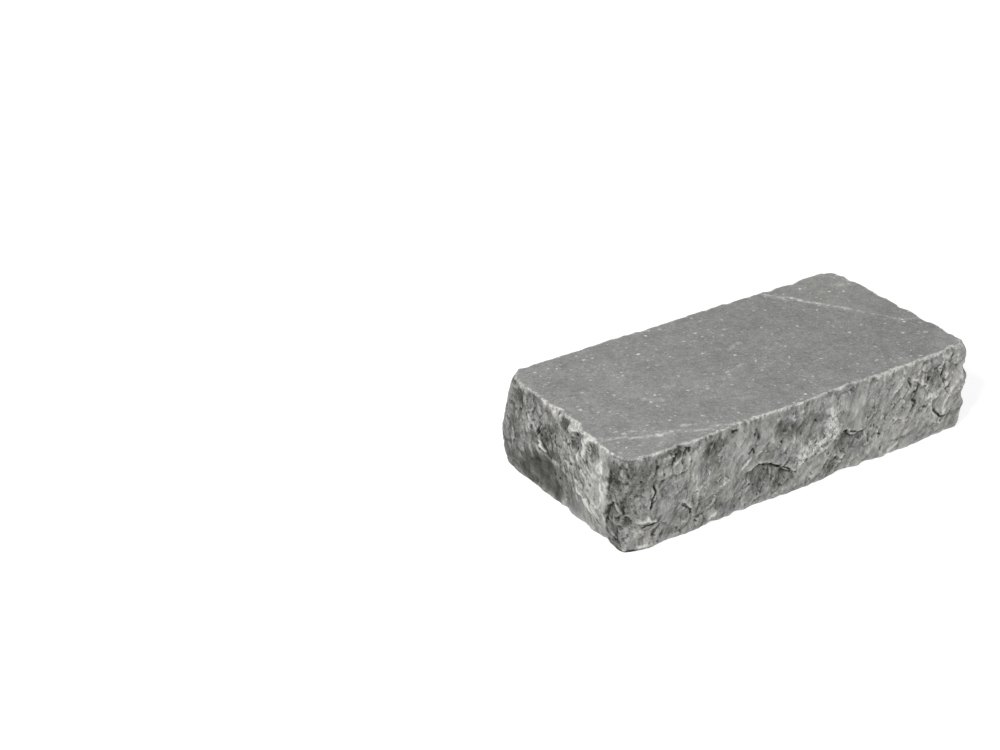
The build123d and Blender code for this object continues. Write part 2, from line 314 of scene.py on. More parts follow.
leftMarks = [
    ridge((19, 25), (15, 22.5), (11, 20.5), deep=0.6, wide=0.6, tone=0.5),
    ridge((9, 20), (3, 18.7), (-4, 18.5), deep=0.4, wide=1.4, tone=0.2, torn=1),
    ridge((-8, 19.3), (-13, 19), (-18.5, 18.6), deep=0.3, wide=0.5, tone=0.4),
    crack((-21, 16.5), (-25.5, 12.5), (-30, 7), (-35, 7), deep=1.4, wide=0.45),
    ridge((-12, 18), (-16, 16), (-23, 11.5), (-33, 8), deep=0.4, wide=2.0, tone=0.2),
    ridge((-17.5, 43.5), (-18, 38), (-17.5, 33), deep=0.6, wide=1.6, tone=0.26),
    ridge((-32, 42), (-33, 33), (-34, 24), (-33, 12), deep=0.5, wide=2.4, tone=0.34, torn=1),
    ridge((-5, 39), (-5, 35), (-4, 31), deep=0.5, wide=1.2, tone=0.2, torn=1),
    ridge((28, 39), (25, 33), (24, 28), deep=0.4, wide=0.8, tone=0.22, torn=1),
    ridge((31, 32), (27, 29), (26, 24), deep=0.4, wide=0.8, tone=0.22, torn=1),
    crack((-8, 27), (-9, 24.5), deep=1.0, wide=0.5),
    # dark spots over the scoops under the top arris: painted shade in the hollows
    spot((36.5, 40), (6, 6), tone=-0.16, pits=0.6, calm=-0.5),
    spot((11, 28.5), (9, 8), tone=-0.18, pits=1, calm=-0.5),
    spot((-0.5, 42), (5, 4), tone=-0.24, pits=0.3),
    spot((-11, 38.5), (5.5, 6), tone=-0.18, pits=0.3),
    spot((-24.5, 39.5), (5.5, 5.5), tone=-0.14, pits=0.6),
    ridge((13, 44.5), (8, 44.2), (3, 44), deep=0.2, wide=1.9, tone=0.06, spar=0.42),
    ridge((-3, 43.5), (-7, 43.5), (-12, 44), deep=0.2, wide=2.6, tone=0.06, spar=0.46),
    ridge((-16, 44.2), (-20, 44.2), (-26, 44.6), deep=0.2, wide=1.8, tone=0.06, spar=0.42),
    ridge((-30, 44.6), (-37, 44.2), (-45, 44), deep=0.2, wide=1.6, tone=0.06, spar=0.42),
    spot((12, 9), (26, 13), tone=-0.17, calm=1.2),
    spot((-15, 7), (13, 9), tone=-0.03, calm=0.9),
    spot((4, 33), (36, 11), calm=-0.6, pits=0.5),
    # painted shadow: the middle of the left side a little darker
    spot((5, 22), (20, 26), tone=-0.07),
    spot((-43, 23), (5.6, 36), tone=-0.28, pits=0.6, calm=-0.5, crisp=1),
    crack((-38.5, 38), (-39, 31), (-39.5, 25), deep=0.3, wide=0.5, torn=1),
    crack((-39.5, 21), (-40, 15), (-39, 10), deep=0.3, wide=0.5, torn=1),
    ridge((-40, 27.5), (-43, 22.5), (-46.5, 17), deep=0.3, wide=1.0, tone=0.26),
    ridge((-41, 18), (-44, 13), (-47, 9), deep=0.3, wide=0.8, tone=0.2, torn=1),
    spot((-46, 39), (3, 5), tone=0.14),
    spot((-41, 33), (3, 6), tone=-0.1),
    # painted shadow: darker towards the far end of the left side
    spot((38, 18), (30, 36), tone=-0.18),
    spot((-32.5, 35), (2.6, 2.8), tone=0.28, calm=0.6, crisp=1),
    spot((45, 41), (4, 5), tone=0.2),
    spot((-9, 29), (8, 4), tone=0.04, pits=1),
    spot((-27, 24), (10, 11), tone=0.14, calm=0.7),
]

# how the marks wander and fade
marking = {
    "along": ((0.7, 3.1, 0), (0.4, 1.2, 5)),
    "up": ((0.7, 3.1, 9), (0.4, 1.2, 14)),
    "spotEdge": ((0.3, 5.0, 21), (0.2, 2.0, 33)),
    "spotFade": (0.25, 1.3),              # a spot fades between these shares of its size
    "crispFade": (0.55, -0.2),            # added for a crisp one
    "lineEnds": 0.2,                      # share of a line that thins out at each end
    "torn": (0.45, 0.9, 1.5, 40),         # a torn line has gaps: share, amount, size and shift
    "uneven": (0.65, 0.7, 2.2, 50),       # a crack is deeper here and there
    "crackShade": (0.25, 1.3),            # painted shade in a crack: its darkness, and its width against the groove
}

rng = np.random.default_rng(stone["seed"])
noiseCells = 96
noiseGrid = rng.random((noiseCells, noiseCells))


# smooth noise on a plane, from -1 to 1
def wander(u, v, size, shift=0.0):
    a = u / size + 31.7 + shift
    b = v / size + 17.3 + 2.1 * shift
    i, j = np.floor(a).astype(int), np.floor(b).astype(int)
    f, g = a - i, b - j
    f, g = f * f * (3 - 2 * f), g * g * (3 - 2 * g)

    def pick(p, q):
        return noiseGrid[p % noiseCells, q % noiseCells]

    low = pick(i, j) * (1 - f) + pick(i + 1, j) * f
    high = pick(i, j + 1) * (1 - f) + pick(i + 1, j + 1) * f
    return 2 * (low * (1 - g) + high * g) - 1


# several noises added up
def wavy(noises, u, v):
    return sum(amount * wander(u, v, size, shift) for amount, size, shift in noises)


def smooth(value, start, end):
    t = np.clip((value - start) / (end - start), 0, 1)
    return t * t * (3 - 2 * t)


# the path the columns stand on: place and outward direction of each column
def walkPath():
    hx = cadBox[1].x / mm - stone["pathInset"]
    hy = cadBox[1].y / mm - stone["pathInset"]
    r = stone["pathRadius"]
    fine, coarse = stone["fineStep"], stone["coarseStep"]
    places, outs = [], []

    def straight(start, end, out, step):
        count = round(math.dist(start, end) / step)
        for i in range(count):
            t = i / count
            places.append((start[0] + (end[0] - start[0]) * t, start[1] + (end[1] - start[1]) * t))
            outs.append(out)

    def bend(centre, first, step):
        count = round(r * math.pi / 2 / step)
        for i in range(count):
            a = math.radians(first + 90 * i / count)
            outs.append((math.cos(a), math.sin(a)))
            places.append((centre[0] + r * math.cos(a), centre[1] + r * math.sin(a)))

    straight((-hx + r, -hy), (hx - r, -hy), (0, -1), fine)
    bend((hx - r, -hy + r), -90, fine)
    straight((hx, -hy + r), (hx, hy - r), (1, 0), coarse)
    bend((hx - r, hy - r), 0, coarse)
    straight((hx - r, hy), (-hx + r, hy), (0, 1), coarse)
    bend((-hx + r, hy - r), 90, fine)
    straight((-hx, hy - r), (-hx, -hy + r), (-1, 0), fine)
    bend((-hx + r, -hy + r), 180, fine)
    return np.array(places), np.array(outs)


# how far a point is from a path, and how far along it
def nearPath(path, u, v):
    best = np.full(u.shape, 1e9)
    along = np.zeros(u.shape)
    lengths = [math.dist(a, b) for a, b in zip(path, path[1:])]
    done, total = 0.0, sum(lengths)
    for a, b, length in zip(path, path[1:], lengths):
        dx, dy = (b[0] - a[0]) / length, (b[1] - a[1]) / length
        t = np.clip((u - a[0]) * dx + (v - a[1]) * dy, 0, length)
        px, py = u - a[0] - t * dx, v - a[1] - t * dy
        far = np.hypot(px, py)
        closer = far < best
        best = np.where(closer, far, best)
        along = np.where(closer, (done + t) / total, along)
        done += length
    return best, along


# depth, tone, calm, pits and crystals that the marks give
def workMarks(marks, u, v):
    work = {name: np.zeros(u.shape) for name in ("deep", "tone", "calm", "pits", "spar")}
    uu = u + wavy(marking["along"], u, v)
    vv = v + wavy(marking["up"], u, v)
    edge = 1 + wavy(marking["spotEdge"], u, v)
    (fadeStart, fadeEnd), (crispStart, crispEnd) = marking["spotFade"], marking["crispFade"]
    thin = marking["lineEnds"]
    shade, shadeWide = marking["crackShade"]
    share, amount, size, shift = marking["torn"]
    torn = (share + amount * wander(u, v, size, shift)).clip(0, 1.3)
    share, amount, size, shift = marking["uneven"]
    uneven = (share + amount * wander(u, v, size, shift)).clip(0.1, 1.3)
    for mark in marks:
        kind, tone = mark["kind"], mark.get("tone", 0.0)
        if kind == "spot":
            (atU, atV), (wide, high) = mark["at"], mark["size"]
            far = np.hypot((uu - atU) / wide, (vv - atV) / high) * edge
            crisp = mark.get("crisp", 0.0)
            inside = 1 - smooth(far, fadeStart + crispStart * crisp, fadeEnd + crispEnd * crisp)
            work["tone"] += tone * inside
            work["calm"] += mark.get("calm", 0.0) * inside
            work["pits"] = np.maximum(work["pits"], mark.get("pits", 0.0) * inside)
            continue
        far, along = nearPath(mark["path"], uu, vv)
        ends = smooth(along, 0.0, thin) * (1 - smooth(along, 1 - thin, 1.0))
        line = ends * np.exp(-(far / mark["wide"]) ** 2)
        if mark.get("torn"):
            line = line * torn
        if kind == "crack":
            line = line * uneven
            # painted shade in and beside the groove
            work["tone"] -= shade * ends * np.exp(-(far / (shadeWide * mark["wide"])) ** 2)
        work["deep"] += mark["deep"] * line * (1 if kind == "crack" else -1)
        work["tone"] += tone * line
        work["spar"] = np.maximum(work["spar"], mark.get("spar", 0.0) * line)
    return work


# how far out the solid reaches at each column and row
# it is read a little off to the side of each point, so that no scar keeps a drawn edge
def readSolid(places, outs, s, z):
    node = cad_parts[stone["node"]].data
    points = [v.co / mm for v in node.vertices]
    solid = BVHTree.FromPolygons(points, [p.vertices[:] for p in node.polygons])
    top, least, away = stone["height"], stone["edgeRows"][0], stone["readFrom"]
    along = wavy(stone["readAlong"], s, z)
    up = wavy(stone["readUp"], s, z) * smooth(np.minimum(z, top - z), *stone["readUpFade"])
    height = np.clip(z + up, least, top - least)
    reach = np.zeros(z.shape)
    for r, c in np.ndindex(*z.shape):
        (x, y), (ox, oy) = places[c], outs[c]
        fx, fy = x - oy * along[r, c], y + ox * along[r, c]
        start = Vector((fx + away * ox, fy + away * oy, height[r, c]))
        hit = solid.ray_cast(start, Vector((-ox, -oy, 0)))[0]
        reach[r, c] = (hit.x - fx) * ox + (hit.y - fy) * oy
    return reach


# the upright corners are worn soft, and the right and far ones have an outline of their own
def wearCorners(reach, places, outs, s, z):
    blend = stone["cornerBlend"]
    span = int(3 * blend)
    weights = np.exp(-0.5 * (np.arange(-span, span + 1) / blend) ** 2)
    padded = np.concatenate([reach[:, -span:], reach, reach[:, :span]], 1)
    soft = np.stack([np.convolve(row, weights / weights.sum(), "valid") for row in padded])
    turn = np.minimum(np.abs(outs[:, 0]), np.abs(outs[:, 1]))
    corner = smooth(turn, *stone["cornerTurn"])
    right, back = places[:, 0] > 0, places[:, 1] > 0
    nearCorner = ~right & ~back
    reach += (soft - reach) * corner * np.where(nearCorner, *stone["cornerSoft"])

    lobe, spacing, lobeStart = stone["cornerWave"]
    waist, waistHeight, waistHalf = stone["cornerWaist"]
    crown, crownHeight = stone["cornerCrown"]
    wave = lobe * np.sin((z - lobeStart) * 2 * math.pi / spacing)
    wave -= waist * np.exp(-((z - waistHeight) / waistHalf) ** 2)
    wave -= crown * np.exp(-((stone["height"] - z) / crownHeight) ** 2)
    wave += wavy(stone["cornerRough"], s, z)
    reach += corner * (right & ~back) * wave
    reach += stone["farCorner"] * (right & back) * smooth(turn, *stone["farCornerTurn"])
    return corner, nearCorner


# small chips bite the top arris, in some stretches more than in others, with painted shade just below
# them
def chipRim(reach, tone, outs, s, z):
    below = stone["height"] - z
    sides = np.stack([-outs[:, 1], outs[:, 0], outs[:, 1], -outs[:, 0]]).clip(0, 1)
    size, shift, least, most = stone["rimStretch"]
    depth = (sides * np.array(stone["rimChips"])[:, None]).sum(0)
    depth = depth * smooth(wander(s, 0 * s, size, shift), least, most)
    chips = np.zeros(z.shape)
    for share, size, gap, shift in stone["rimChipKinds"]:
        chips += share * (wander(s, 0 * s, size, shift) - gap).clip(0, 1)
    reach -= depth * chips * np.exp(-(below / stone["rimChipHeight"]) ** 2)
    # painted shade under the chips
    dark, down, half = stone["rimShade"]
    tone -= dark * np.minimum(depth * chips, 1) * np.exp(-((below - down) / half) ** 2)


# larger bites out of the arris at the right and the back
def biteRim(reach, outs, x, y, z):
    below = stone["height"] - z
    for facing, along, bites in ((outs[:, 0], y, "rightBites"), (outs[:, 1], x, "backBites")):
        for middle, deep, half in stone[bites]:
            bite = np.exp(-((along - middle) / half) ** 2 - (below / stone["biteHeight"]) ** 2)
            reach -= deep * bite * smooth(facing, *stone["sideTurn"])


def roundArrises(reach, s, z):
    least, most = stone["arrisRound"]
    rounding = least + (most - least) * (0.5 + 0.5 * wander(s, 0 * s, stone["arrisStretch"]))
    for edge in (stone["height"] - z, z):
        part = np.clip(rounding - edge, 0, None)
        reach -= rounding - np.sqrt(np.clip(rounding ** 2 - part ** 2, 0, None))


def buildStone():
    places, outs = walkPath()
    top, count = stone["height"], len(places)
    close, inner = np.array(stone["edgeRows"]), stone["innerRow"]
    between = np.linspace(top - inner, inner, round((top - 2 * inner) / stone["rowStep"]) + 1)
    rowHeights = np.concatenate([top - close, between, close[::-1]])
    rows = len(rowHeights)
    z = np.repeat(rowHeights[:, None], count, 1)
    s = np.repeat(np.arange(count)[None, :] * stone["fineStep"], rows, 0)

    reach = readSolid(places, outs, s, z)
    corner, nearCorner = wearCorners(reach, places, outs, s, z)

    # the listed marks on the two sides the camera sees
    x = places[:, 0] + reach * outs[:, 0]
    y = places[:, 1] + reach * outs[:, 1]
    front = smooth(-outs[:, 1], *stone["sideTurn"])
    left = smooth(-outs[:, 0], *stone["sideTurn"])
    frontWork, leftWork = workMarks(frontMarks, x, z), workMarks(leftMarks, y, z)
    work = {name: frontWork[name] * front + leftWork[name] * left for name in frontWork}
    torn = stone["leftTorn"] * np.maximum(left, nearCorner * corner)
    work["calm"] = np.clip(work["calm"] - torn, *stone["calmRange"])
    held, holdHeight = stone["rimHold"]
    reach -= work.pop("deep") * (held + (1 - held) * smooth(top - z, 0.0, holdHeight))

    chipRim(reach, work["tone"], outs, s, z)
    biteRim(reach, outs, x, y, z)
    reach += wavy(stone["footWave"], s, 0 * s) * np.exp(-(z / stone["footHeight"]) ** 2)
    roundArrises(reach, s, z)

    # rings on the sawn faces, then the side rows: how far out, height, inset and the row they follow
    onTop, onBed = np.full(count, top), np.zeros(count)
    layers = [(reach[0] - inset, onTop, inset, 0) for inset in stone["topRings"]]
    layers += [(reach[r], z[r], 0.0, r) for r in range(rows)]
    layers += [(reach[-1] - inset, onBed, inset, rows - 1) for inset in reversed(stone["bedRings"])]

    strand, strandMore = stone["strand"]
    share, shareStart, shareFull = stone["reliefShare"]
    rings = []
    for far, height, inset, row in layers:
        edge = smooth(np.minimum(top - z[row], z[row]), shareStart, shareFull)
        fade = math.exp(-inset / stone["splitFade"])
        ring = {
            "place": np.column_stack([places + far[:, None] * outs, height]),
            "at": np.column_stack([x[row], y[row], z[row]]),
            "out": np.column_stack([outs, 0 * far]),
            "give": (share + (1 - share) * edge) * max(0.0, 1 - inset / stone["reliefFade"]),
            "rim": top - height + 2 * inset if row < rows - 1 else np.full(count, stone["bedRim"]),
            "split": np.full(count, fade),
            "corner": corner,
            "strand": strand + strandMore * np.abs(outs[:, 1]),
        }
        for name in work:
            ring[name] = work[name][row] * fade
        rings.append(ring)
    values = {name: np.concatenate([ring[name] for ring in rings]) for name in rings[0]}

    faces = []
    for r in range(len(layers) - 1):
        a, b = r * count, (r + 1) * count
        for c in range(count):
            d = (c + 1) % count
            faces.append((a + c, b + c, b + d, a + d))
    faces.append(tuple(range(count)))
    faces.append(tuple(reversed(range((len(layers) - 1) * count, len(layers) * count))))

    mesh = bpy.data.meshes.new("pavingStone")
    mesh.from_pydata((values.pop("place") * mm).tolist(), [], faces)
    for name, numbers in values.items():
        flat = numbers.ndim == 1
        layer = mesh.attributes.new(name, "FLOAT" if flat else "FLOAT_VECTOR", "POINT")
        layer.data.foreach_set("value" if flat else "vector", numbers.astype(np.float32).ravel())
    mesh.shade_smooth()
    piece = bpy.data.objects.new("pavingStone", mesh)
    scene.collection.objects.link(piece)
    return piece


piece = buildStone()
print("stone columns and rows:", len(piece.data.vertices), "points")


# wires up nodes, for the relief and for the colour
class NodeSheet:
    def __init__(self, tree):
        self.tree = tree

    def add(self, kind, **settings):
        node = self.tree.nodes.new(kind)
        for key, value in settings.items():
            setattr(node, key, value)
        return node

    def put(self, value, socket):
        if hasattr(value, "is_output"):
            self.tree.links.new(value, socket)
        else:
            socket.default_value = value

    def math(self, operation, a, b=None, c=None, clamp=False):
        node = self.add("ShaderNodeMath", operation=operation, use_clamp=clamp)
        for value, socket in zip((a, b, c), node.inputs):
            if value is not None:
                self.put(value, socket)
        return node.outputs[0]

    def total(self, *parts):
        result = parts[0]
        for part in parts[1:]:
            result = self.math("ADD", result, part)
        return result

    def times(self, *parts):
        result = parts[0]
        for part in parts[1:]:
            result = self.math("MULTIPLY", result, part)
        return result

    def vector(self, operation, a, b=None, scale=None):
        node = self.add("ShaderNodeVectorMath", operation=operation)
        self.put(a, node.inputs[0])
        if b is not None:
            self.put(b, node.inputs[1])
        if scale is not None:
            self.put(scale, node.inputs["Scale"])
        return node.outputs["Value" if operation in ("DOT_PRODUCT", "LENGTH") else "Vector"]

    def ramp(self, value, start, end, low=0.0, high=1.0, shape="SMOOTHSTEP"):
        node = self.add("ShaderNodeMapRange", clamp=True, interpolation_type=shape)
        span = {"Value": value, "From Min": start, "From Max": end, "To Min": low, "To Max": high}
        for name, part in span.items():
            self.put(part, node.inputs[name])
        return node.outputs["Result"]

    def sized(self, where, size):
        return self.vector("SCALE", where, scale=self.math("DIVIDE", 1.0, size))

    # noise about zero, roughly from -1 to 1
    def noise(self, where, size, detail=2.0, rough=0.5):
        node = self.add("ShaderNodeTexNoise", noise_dimensions="3D")
        self.put(self.sized(where, size), node.inputs["Vector"])
        node.inputs["Scale"].default_value = 1.0
        node.inputs["Detail"].default_value = detail
        node.inputs["Roughness"].default_value = rough
        return self.math("MULTIPLY_ADD", node.outputs["Fac"], 4.0, -2.0)

    # scattered cells: how far from the middle of one, and two numbers of its own
    def cells(self, where, size, flat=False):
        kind = "2D" if flat else "3D"
        node = self.add("ShaderNodeTexVoronoi", voronoi_dimensions=kind, feature="F1")
        self.put(self.sized(where, size), node.inputs["Vector"])
        node.inputs["Scale"].default_value = 1.0
        pick = self.add("ShaderNodeSeparateXYZ")
        self.put(node.outputs["Color"], pick.inputs[0])
        return node.outputs["Distance"], pick.outputs[0], pick.outputs[1]

    # small flat faces, each leaning its own way
    def facets(self, where, size):
        node = self.add("ShaderNodeTexVoronoi", voronoi_dimensions="3D", feature="F1")
        self.put(self.sized(where, size), node.inputs["Vector"])
        node.inputs["Scale"].default_value = 1.0
        middle = self.vector("SCALE", node.outputs["Position"], scale=size)
        lean = self.vector("SUBTRACT", node.outputs["Color"], (0.5, 0.5, 0.5))
        away = self.vector("SUBTRACT", where, middle)
        return self.math("MULTIPLY", self.vector("DOT_PRODUCT", away, lean), 2.0)

    # the place pushed about by noise
    def bent(self, where, amount, size):
        node = self.add("ShaderNodeTexNoise", noise_dimensions="3D")
        self.put(self.sized(where, size), node.inputs["Vector"])
        node.inputs["Scale"].default_value = 1.0
        push = self.vector("SUBTRACT", node.outputs["Color"], (0.5, 0.5, 0.5))
        return self.vector("ADD", where, self.vector("SCALE", push, scale=amount))

    # the place squeezed along one direction, which draws the pattern out that way
    def drawnOut(self, where, direction, share):
        way = tuple(Vector(direction).normalized())
        along = self.vector("DOT_PRODUCT", where, way)
        short = self.vector("SCALE", way, scale=self.math("MULTIPLY", along, share))
        return self.vector("SUBTRACT", where, short)


grainWay = (0.5, 0.45, 0.74)              # the stone splits along this direction
bedWay = (0.9, -0.43, 0.0)                # and is bedded along this one


# split relief, worked out over the surface by geometry nodes, sizes in mm

relief = {
    "Grain Draw": 0.45,                   # how far the pattern is drawn out along the grain
    "Streak Draw": 0.75,
    "Tear Size": 15.0,                    # ground that is torn rough
    "Least Tear": 0.35,
    "Calm Share": -0.75,
    "Swell Size": 12.0,
    "Swell Height": 0.6,
    "Bowl Size": 10.0,
    "Bowl Height": 0.9,
    "Chip Size": 4.4,
    "Chip Tilt": 0.2,
    "Rough Size": 3.6,
    "Rough Height": 0.3,
    "Streak Size": 2.8,
    "Streak Height": 0.24,
    "Grit Size": 1.1,
    "Grit Height": 0.14,
    "Pit Size": 2.6,
    "Pit Depth": 0.8,
    "Seed": 4,
}

# how many mesh steps round about each looks
standSteps = {"proud": 4, "proudWide": 30}


def reliefTree(material):
    tree = bpy.data.node_groups.new("splitRelief", "GeometryNodeTree")
    face = tree.interface
    face.new_socket("Geometry", in_out="INPUT", socket_type="NodeSocketGeometry")
    for name, value in relief.items():
        kind = "NodeSocketInt" if isinstance(value, int) else "NodeSocketFloat"
        face.new_socket(name, in_out="INPUT", socket_type=kind).default_value = value
    face.new_socket("Geometry", in_out="OUTPUT", socket_type="NodeSocketGeometry")
    sheet = NodeSheet(tree)
    start, end = sheet.add("NodeGroupInput"), sheet.add("NodeGroupOutput")
    size = start.outputs

    def attribute(name, kind="FLOAT"):
        node = sheet.add("GeometryNodeInputNamedAttribute", data_type=kind)
        node.inputs["Name"].default_value = name
        return node.outputs["Attribute"]

    shift = sheet.add("ShaderNodeCombineXYZ")
    sheet.put(sheet.math("MULTIPLY", size["Seed"], 37.7), shift.inputs[0])
    place = sheet.vector("ADD", attribute("at", "FLOAT_VECTOR"), shift.outputs[0])
    drawn = sheet.drawnOut(place, grainWay, size["Grain Draw"])
    streaky = sheet.drawnOut(place, grainWay, size["Streak Draw"])

    # some ground is torn rough, some is calm
    tear = sheet.ramp(sheet.noise(drawn, size["Tear Size"], 2.0), -0.5, 0.6, size["Least Tear"], 1.0)
    tear = sheet.times(tear, sheet.math("MULTIPLY_ADD", attribute("calm"), size["Calm Share"], 1.0))
    swell = sheet.times(sheet.noise(place, size["Swell Size"], 1.0), size["Swell Height"])
    near = sheet.cells(sheet.bent(drawn, 9.0, 8.0), size["Bowl Size"])[0]
    bowl = sheet.math("SUBTRACT", sheet.math("POWER", near, 1.6), 0.25)
    bowl = sheet.times(bowl, size["Bowl Height"], tear)
    chip = sheet.facets(sheet.bent(drawn, 3.5, 3.0), size["Chip Size"])
    chip = sheet.times(chip, size["Chip Tilt"], tear)
    rough = sheet.times(sheet.noise(drawn, size["Rough Size"], 4.0, 0.65), size["Rough Height"], tear)
    streak = sheet.noise(streaky, size["Streak Size"], 2.0)
    streak = sheet.times(streak, size["Streak Height"], attribute("strand"))
    grit = sheet.times(sheet.noise(place, size["Grit Size"], 2.0, 0.6), size["Grit Height"], tear)
    near, pick = sheet.cells(sheet.bent(place, 2.5, 2.5), size["Pit Size"])[:2]
    share = sheet.math("MULTIPLY_ADD", attribute("pits"), -0.5, 0.95)
    pit = sheet.times(sheet.ramp(near, 0.12, 0.4, 1.0, 0.0), sheet.math("GREATER_THAN", pick, share))
    pit = sheet.times(pit, size["Pit Depth"], -1.0)
    height = sheet.times(sheet.total(swell, bowl, chip, rough, streak, grit, pit), attribute("give"))
    outward = attribute("out", "FLOAT_VECTOR")
    offset = sheet.vector("SCALE", outward, scale=sheet.math("MULTIPLY", height, mm))
    move = sheet.add("GeometryNodeSetPosition")
    sheet.put(size["Geometry"], move.inputs["Geometry"])
    sheet.put(offset, move.inputs["Offset"])

    # how far each point stands above the ground close by and further round it, mm
    here = sheet.add("GeometryNodeInputPosition").outputs[0]
    normal = sheet.add("GeometryNodeInputNormal").outputs[0]
    shape = move.outputs[0]
    for name, steps in standSteps.items():
        blur = sheet.add("GeometryNodeBlurAttribute", data_type="FLOAT_VECTOR")
        sheet.put(here, blur.inputs["Value"])
        blur.inputs["Iterations"].default_value = steps
        above = sheet.vector("SUBTRACT", here, blur.outputs["Value"])
        stand = sheet.vector("DOT_PRODUCT", above, normal)
        store = sheet.add("GeometryNodeStoreNamedAttribute", data_type="FLOAT", domain="POINT")
        store.inputs["Name"].default_value = name
        sheet.put(shape, store.inputs["Geometry"])
        sheet.put(sheet.math("MULTIPLY", stand, 1 / mm), store.inputs["Value"])
        shape = store.outputs[0]

    realize = sheet.add("GeometryNodeRealizeInstances")
    dress = sheet.add("GeometryNodeSetMaterial")
    dress.inputs["Material"].default_value = material
    sheet.put(shape, realize.inputs["Geometry"])
    sheet.put(realize.outputs[0], dress.inputs["Geometry"])
    sheet.put(dress.outputs[0], end.inputs[0])
    return tree


# colour of the stone: one tone from 0 to 1, turned into grey by a ramp

finish = {
    "greys": (
        (0.0, (0.027, 0.03, 0.023, 1)),
        (0.25, (0.114, 0.117, 0.106, 1)),
        (0.5, (0.27, 0.27, 0.266, 1)),
        (0.75, (0.45, 0.45, 0.437, 1)),
        (1.0, (0.70, 0.70, 0.68, 1)),
    ),
    "sideTint": (1.0, 0.99, 0.955, 1),
    "warmTop": (88, 34),                  # the corner of the top beyond the vein
    "warmReach": (10.0, 36.0),
    "warmShare": 0.9,
    "paleTop": ((86, 32, 38, 0.06), (96, -45, 18, 0.07)),    # place, reach and tone
    "paintedTopLight": (-100.0, 90.0, 0.525, 0.495),    # painted light: the top is lighter towards the lamp at the left; two places along the top and the tones there
    "topNoise": (                         # grain, bedding and clouds: way, size, roughness, tone
        ("plain", 0.9, 0.7, 0.11),
        ("plain", 2.2, 0.6, 0.07),
        ("bedded", 1.1, 0.6, 0.035),
        ("plain", 6.0, 0.5, 0.04),
        ("plain", 17.0, 0.5, 0.03),
    ),
    "beddedShare": 0.8,                   # how far each pattern is drawn out
    "dashShare": 0.15,
    "drawnShare": 0.35,
    "streakyShare": 0.7,
    "fineFlecks": 0.26,                   # tones on the sawn top
    "largeFlecks": 0.42,
    "darkFlecks": -0.1,
    "smears": 0.2,
    "sideTone": 0.56,                     # tones on the split sides
    "sideGrain": 0.1,
    "sideRough": 0.13,
    "sidePatch": 0.13,
    "sideCloud": 0.06,
    "strands": 0.05,
    "tufts": 0.26,
    "shades": -0.15,
    "grains": -0.24,
    "spar": (-0.2, 0.56),                 # between the crystals and on them
    "proud": (0.3, -0.24, 0.24),          # how high or deep, mm, tone when deep (painted shade in hollows) and when high (pale wear)
    "proudWide": (1.0, -0.24, 0.22),
    "wornWidth": (0.6, 3.4),              # the pale worn line along the top arris
    "wornTone": 0.3,
    "roughness": 0.82,
    "specular": 0.3,
    "sandSize": 0.8,                      # fine sand that only the light shows
    "sandShare": (0.2, 0.8),              # on the sawn faces, and more of it on the split sides
    "bumpHeight": 0.00018,
}

# pale veins on the sawn top, mm: from, to, width and tone
topVeins = [
    ((50, 47.5), (63, 32), 1.8, 0.36),
    ((60, 35), (70, 21), 1.7, 0.36),
    ((68.5, 23), (78, 8.5), 1.8, 0.38),
    ((50, 44.5), (59, 33), 1.5, 0.28),
    ((61, 31.5), (68, 22.5), 1.4, 0.28),
    ((78, 9), (89.5, -11), 1.5, 0.24),
    ((87, -9), (100, -17.5), 1.7, 0.26),
    ((89, 34.5), (99, 28.5), 2.4, 0.26),
    ((-100, -25.5), (-87, -30), 2.0, 0.36),
    ((-90, -27.5), (-81, -26.5), 1.8, 0.3),
    ((-89, -31.5), (-73, -37), 2.2, 0.42),
    ((-77, -35), (-64, -38.5), 1.8, 0.32),
    ((-66, -39), (-51, -45.5), 2.0, 0.34),
    ((-63, -34.5), (-55, -38), 1.8, 0.32),
    ((-52, -42), (-42, -47), 1.8, 0.3),
    ((-63, -6), (-54, -13.5), 2.8, 0.26),
    ((-49, -1), (-42, -5), 2.4, 0.22),
    ((-34, -10), (-31, -16), 2.4, 0.22),
    ((-1, 8.5), (11, 13), 1.8, 0.22),
    ((-16, -8.5), (-2, -5), 2.0, 0.22),
    ((2, -14), (10, -11.5), 1.8, 0.18),
    ((20, -45), (2, -45), 1.2, 0.1),
]


def newGroup(name, inputs, output):
    tree = bpy.data.node_groups.new(name, "ShaderNodeTree")
    for label, kind, value in inputs:
        socket = tree.interface.new_socket(label, in_out="INPUT", socket_type="NodeSocket" + kind)
        if value is not None:
            socket.default_value = value
    tree.interface.new_socket(output, in_out="OUTPUT", socket_type="NodeSocketFloat")
    sheet = NodeSheet(tree)
    return tree, sheet, sheet.add("NodeGroupInput").outputs, sheet.add("NodeGroupOutput").inputs[0]


# small specks, a share of scattered cells, on a flat face or all round
def fleckGroup(name, flat):
    inputs = (("Place", "Vector", None), ("Spacing", "Float", 4.0),
              ("Share", "Float", 0.3), ("Size", "Float", 0.12))
    tree, sheet, given, out = newGroup(name, inputs, "Mask")
    near, pick, other = sheet.cells(sheet.bent(given["Place"], 1.6, 0.9), given["Spacing"], flat)
    radius = sheet.times(given["Size"], sheet.math("MULTIPLY_ADD", other, 1.2, 0.4))
    dot = sheet.ramp(near, sheet.math("MULTIPLY", radius, 0.35), radius, 1.0, 0.0)
    chance = sheet.math("FRACT", sheet.math("MULTIPLY", other, 7.3))
    bright = sheet.math("MULTIPLY_ADD", chance, 0.7, 0.4)
    sheet.put(sheet.times(dot, bright, sheet.math("LESS_THAN", pick, given["Share"])), out)
    return tree


